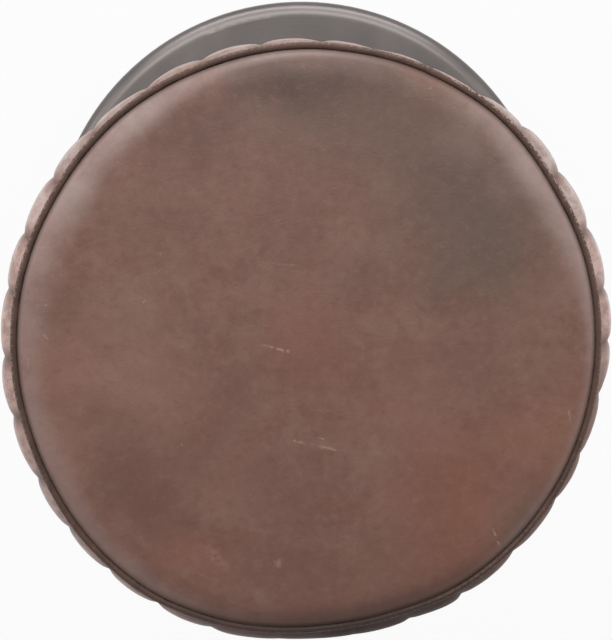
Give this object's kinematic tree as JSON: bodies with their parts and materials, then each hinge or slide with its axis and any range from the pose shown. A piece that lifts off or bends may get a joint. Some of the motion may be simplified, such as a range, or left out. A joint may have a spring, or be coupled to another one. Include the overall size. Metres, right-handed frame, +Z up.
{
  "type": "bar stool",
  "caption": "Round padded bar stool: crowned leather seat with piping and a channelled side band, swivelling on a steel column with footrest ring and weighted disc base.",
  "frame": {"origin": "on the floor at the centre of the base, under the column", "axes": "+Z up along the column; the stool is round, and the footrest's spokes lie along X and Y"},
  "size_m": [0.4299, 0.43, 0.762],
  "materials": {
    "brown_leather": "worn brown leather with a cloudy patina, fine grain and a soft sheen",
    "dark_leather": "dark brown piping leather, satin",
    "gunmetal": "gunmetal grey lacquer over spun and turned steel, satin",
    "cast_iron": "rough casting, black primer",
    "rubber": "matt black moulded rubber",
    "zinc_steel": "dull zinc plating",
    "black_steel": "black oxide, satin",
    "bearing_steel": "ground and lightly oiled",
    "bronze": "sintered bearing bronze",
    "plywood": "bare birch plywood",
    "foam": "open-cell upholstery foam",
    "cotton_cord": "twisted cotton filler cord",
    "dust_cloth": "black non-woven dust cloth"
  },
  "bodies": {
    "pedestal": {"floor_ring": "rubber", "base_ballast": "cast_iron", "foot_washers": "zinc_steel", "foot_bolts": "zinc_steel", "column_foot_plate": "gunmetal", "base_shell": "gunmetal", "trim_collar": "gunmetal", "column_tube": "gunmetal", "footrest_ring": "gunmetal", "footrest_spokes": "gunmetal", "footrest_hub": "gunmetal", "grub_screws": "black_steel", "bearing_housing": "gunmetal", "upper_bush": "bronze", "lower_bush": "bronze", "lower_race": "bearing_steel"},
    "roller_set": {"thrust_rollers": "bearing_steel", "roller_cage": "bronze"},
    "seat": {"upper_race": "bearing_steel", "spindle": "bearing_steel", "retaining_washer": "zinc_steel", "circlip": "black_steel", "seat_plate": "black_steel", "plate_washers": "zinc_steel", "plate_bolts": "black_steel", "tee_nuts": "zinc_steel", "seat_board": "plywood", "dust_cover": "dust_cloth", "foam_core": "foam", "crown_wadding": "foam", "seat_top": "brown_leather", "piping_cord": "cotton_cord", "piping": "dark_leather", "side_band": "brown_leather"}
  },
  "joints": [
    {"name": "seat_swivel", "type": "hinge", "parent": "pedestal", "child": "seat", "pos_m": [0, 0, 0.637], "axis": [0, 0, 1], "continuous": true},
    {"name": "roller_set_spin", "type": "hinge", "parent": "pedestal", "child": "roller_set", "pos_m": [0, 0, 0.637], "axis": [0, 0, 1], "continuous": true}
  ],
  "couplings": [
    {"joint": "roller_set_spin", "follows": "seat_swivel", "ratio": 0.5}
  ]
}
